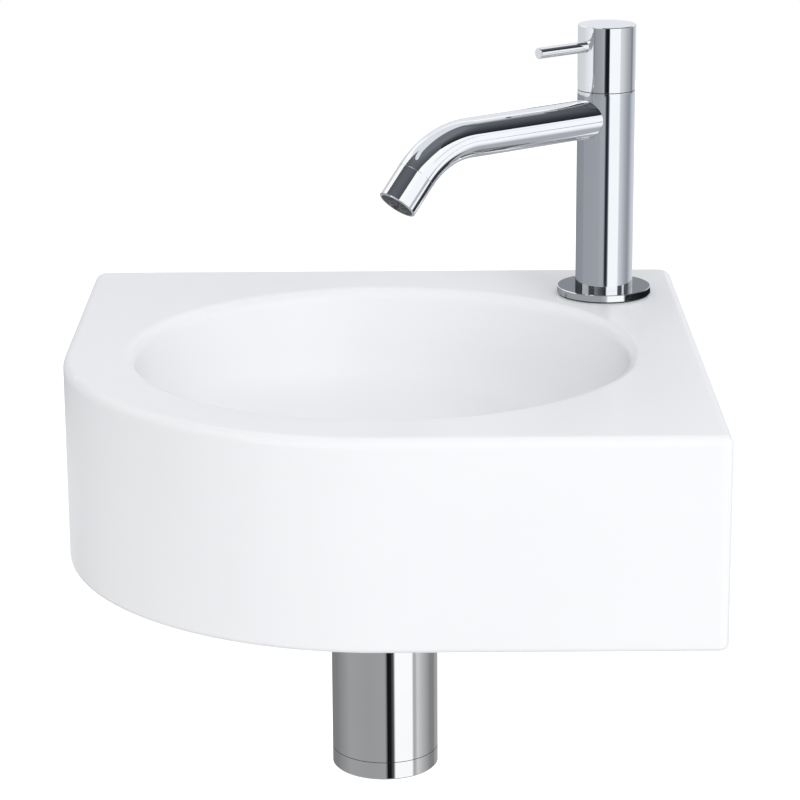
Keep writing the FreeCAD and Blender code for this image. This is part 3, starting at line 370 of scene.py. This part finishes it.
# A dark field round and over the tap, which the spout and the lever show as dark bands. Levels
# are on the way up, as (share of the height, level), and the ceiling's corners are from the tap.
DARK_LEFT_ENDS = (-106, 44)
DARK_LEFT_LEVELS = [(0, 80), (0.4, 96), (1, 112)]
DARK_MIDDLE_ENDS = (44, 82)
DARK_RIGHT_ENDS = (82, 112)
DARK_LEVELS = [(0, 36), (0.12, 48), (0.25, 62), (0.5, 90), (0.75, 112), (1, 122)]
DARK_BACK_ARC = [(112, 84), (118, 100), (126, 135), (132, 175), (138, 216)]
DARK_CEILING = [(-0.65, -NEAR), (NEAR, -NEAR), (NEAR, NEAR), (-0.65, -0.45)]
DARK_CEILING_LEVEL = 116

# Low cards between the ground card and the rings, and the levels of the two level squares.
LOW_RIGHT_ENDS = (58, 130)
LOW_RIGHT_LEVELS = [(0, 180), (0.25, 200), (0.45, 232), (0.8, 252), (1, 254)]
LOW_DARK_ARC = [(92, 190), (97, 64), (112, 48), (122, 60), (127, 170)]
LOW_FRONT_ENDS = (-70, 58)
LOW_FRONT_LEVELS = [(0, 178), (0.4, 190), (0.8, 225), (1, 250)]
CEILING_LEVEL = 226
GROUND_LEVEL = 172

# An upright card behind the tap, which the flange's top shows.
FLANGE_CORNERS = [(0.09, 0.446, 0.08), (0.21, 0.446, 0.08), (0.21, 0.446, 0.245),
                  (0.09, 0.446, 0.245)]
FLANGE_LEVEL = 140


def make_cards():
    ring_card("cap_ring", TAP, FAR, (CAP_FOOT, LEVEL_FOOT), CAP_RING, RING_TINT)
    ring_card("column_ring", TAP, FAR, (COLUMN_FOOT, CAP_FOOT), COLUMN_RING, COLUMN_TINT)
    ring_card("rim_ring", TAP, FAR, (RIM_FOOT, COLUMN_FOOT), RIM_RING, RING_TINT)
    ring_card("level_ring", TAP, FAR, (LEVEL_FOOT, LEVEL_TOP), LEVEL_RING, RING_TINT)
    ring_card("upper_ring", TAP, FAR, (UPPER_FOOT, UPPER_TOP), LEVEL_RING, RING_TINT)
    ring_card("low_ring", TAP, FAR, (LOW_FOOT, RIM_FOOT), LOW_RING, RING_TINT)
    ring_card("trap_ring", TRAP, TRAP_DISTANCE, TRAP_BAND, TRAP_RING, TRAP_TINT)
    ring_card("flange_ring", TAP, JUST_INSIDE_FAR, FLANGE_BAND, FLANGE_RING, RING_TINT)
    ring_card("back_card", TAP, FAR, (LEVEL_FOOT, BACK_TOP), BACK_ARC)
    rising_card("dark_card_left", NEAR, DARK_LEFT_ENDS, (DARK_FOOT_LEFT, DARK_TOP),
                DARK_LEFT_LEVELS)
    rising_card("dark_card_middle", NEAR, DARK_MIDDLE_ENDS, (DARK_FOOT_LEFT, DARK_TOP),
                DARK_LEVELS, low_end=DARK_FOOT_RIGHT)
    rising_card("dark_card_right", NEAR, DARK_RIGHT_ENDS, (DARK_FOOT_RIGHT, DARK_TOP),
                DARK_LEVELS)
    ring_card("dark_card_back", TAP, NEAR, (DARK_FOOT_RIGHT, DARK_TOP), DARK_BACK_ARC)
    rising_card("low_card_right", FAR, LOW_RIGHT_ENDS, (GROUND, LOW_FOOT), LOW_RIGHT_LEVELS)
    ring_card("low_dark_card", TAP, WELL_INSIDE_FAR, LOW_DARK_BAND, LOW_DARK_ARC)
    rising_card("low_card_front", FAR, LOW_FRONT_ENDS, (GROUND, LOW_FOOT), LOW_FRONT_LEVELS)
    flat_card("dark_ceiling_card", [(TAP.x + x, TAP.y + y, DARK_TOP) for x, y in DARK_CEILING],
              DARK_CEILING_LEVEL)
    flat_card("ceiling_card", level_square(TAP, FAR, CEILING), CEILING_LEVEL)
    flat_card("ground_card", level_square(TAP, GROUND_REACH, GROUND), GROUND_LEVEL)
    flat_card("flange_card", FLANGE_CORNERS, FLANGE_LEVEL)


# Floor, surroundings and lamps ------------------------------------------------------

def seen_rays(tree):
    """1 for rays that show the surroundings: camera, glossy and transmission rays."""
    path = tree.nodes.new("ShaderNodeLightPath")
    total = path.outputs["Is Camera Ray"]
    for name in ("Is Glossy Ray", "Is Transmission Ray"):
        more = tree.nodes.new("ShaderNodeMath")
        more.operation = "MAXIMUM"
        tree.links.new(total, more.inputs[0])
        tree.links.new(path.outputs[name], more.inputs[1])
        total = more.outputs["Value"]
    return total


def make_floor():
    """A pale floor that takes the shadow and is seen as white."""
    corners = level_square(Vector(), FLOOR_SIDE / 2, FLOOR_HEIGHT)
    floor = stage_mesh("floor", corners, [(0, 1, 2, 3)])
    floor.visible_glossy = False
    material, tree = empty_material("pale_floor")
    matt = tree.nodes.new("ShaderNodeBsdfDiffuse")
    matt.inputs["Color"].default_value = (FLOOR_GREY, FLOOR_GREY, FLOOR_GREY, 1)
    glow = tree.nodes.new("ShaderNodeEmission")
    share = tree.nodes.new("ShaderNodeMath")
    share.operation = "MULTIPLY"
    share.inputs[1].default_value = FLOOR_GLOW
    both = tree.nodes.new("ShaderNodeAddShader")
    out = tree.nodes.new("ShaderNodeOutputMaterial")
    tree.links.new(seen_rays(tree), share.inputs[0])
    tree.links.new(share.outputs["Value"], glow.inputs["Strength"])
    tree.links.new(matt.outputs["BSDF"], both.inputs[0])
    tree.links.new(glow.outputs["Emission"], both.inputs[1])
    tree.links.new(both.outputs["Shader"], out.inputs["Surface"])
    floor.data.materials.append(material)


def make_world():
    """White where it is seen or reflected, and the ambient level where it lights."""
    world = bpy.data.worlds.new("studio")
    bpy.context.scene.world = world
    world.use_nodes = True
    tree = world.node_tree
    background = tree.nodes["Background"]
    background.inputs["Color"].default_value = (1, 1, 1, 1)
    strength = tree.nodes.new("ShaderNodeMapRange")
    strength.inputs["To Min"].default_value = AMBIENT
    strength.inputs["To Max"].default_value = 1
    tree.links.new(seen_rays(tree), strength.inputs["Value"])
    tree.links.new(strength.outputs["Result"], background.inputs["Strength"])


def soft_lamp(name, place, power):
    light = bpy.data.lights.new(name, "AREA")
    light.shape = "SQUARE"
    light.size = LAMP_SIDE
    light.energy = power
    lamp = bpy.data.objects.new(name, light)
    lamp.location = place
    aim = Vector(LAMP_TARGET) - Vector(place)
    lamp.rotation_mode = "QUATERNION"
    lamp.rotation_quaternion = aim.to_track_quat("-Z", "Y")
    lamp.visible_glossy = False
    bpy.context.scene.collection.objects.link(lamp)


make_cards()
# The tap and the trap show the studio's cards and not the basin.
NODES["basin"].visible_glossy = False
make_floor()
make_world()
soft_lamp("key", KEY_PLACE, KEY_POWER)
soft_lamp("front_fill", FILL_PLACE, FILL_POWER)


# Camera -----------------------------------------------------------------------------

def make_camera():
    forward = Vector((math.sin(CAMERA_YAW) * math.cos(CAMERA_PITCH),
                      math.cos(CAMERA_YAW) * math.cos(CAMERA_PITCH), -math.sin(CAMERA_PITCH)))
    level = Vector((math.cos(CAMERA_YAW), -math.sin(CAMERA_YAW), 0))
    upright = level.cross(forward)
    right = level * math.cos(CAMERA_ROLL) + upright * math.sin(CAMERA_ROLL)
    up = upright * math.cos(CAMERA_ROLL) - level * math.sin(CAMERA_ROLL)
    data = bpy.data.cameras.new("camera")
    data.sensor_width = SENSOR_MILLIMETRES
    data.lens = FOCAL_PIXELS / IMAGE_SIDE * SENSOR_MILLIMETRES
    data.clip_start = CLIP_START
    data.clip_end = CLIP_END
    camera = bpy.data.objects.new("camera", data)
    turn = Matrix((right, up, -forward)).transposed().to_4x4()
    camera.matrix_world = Matrix.Translation(CAMERA_PLACE) @ turn
    bpy.context.scene.collection.objects.link(camera)
    bpy.context.scene.camera = camera


make_camera()
bpy.context.scene.view_settings.view_transform = "Standard"
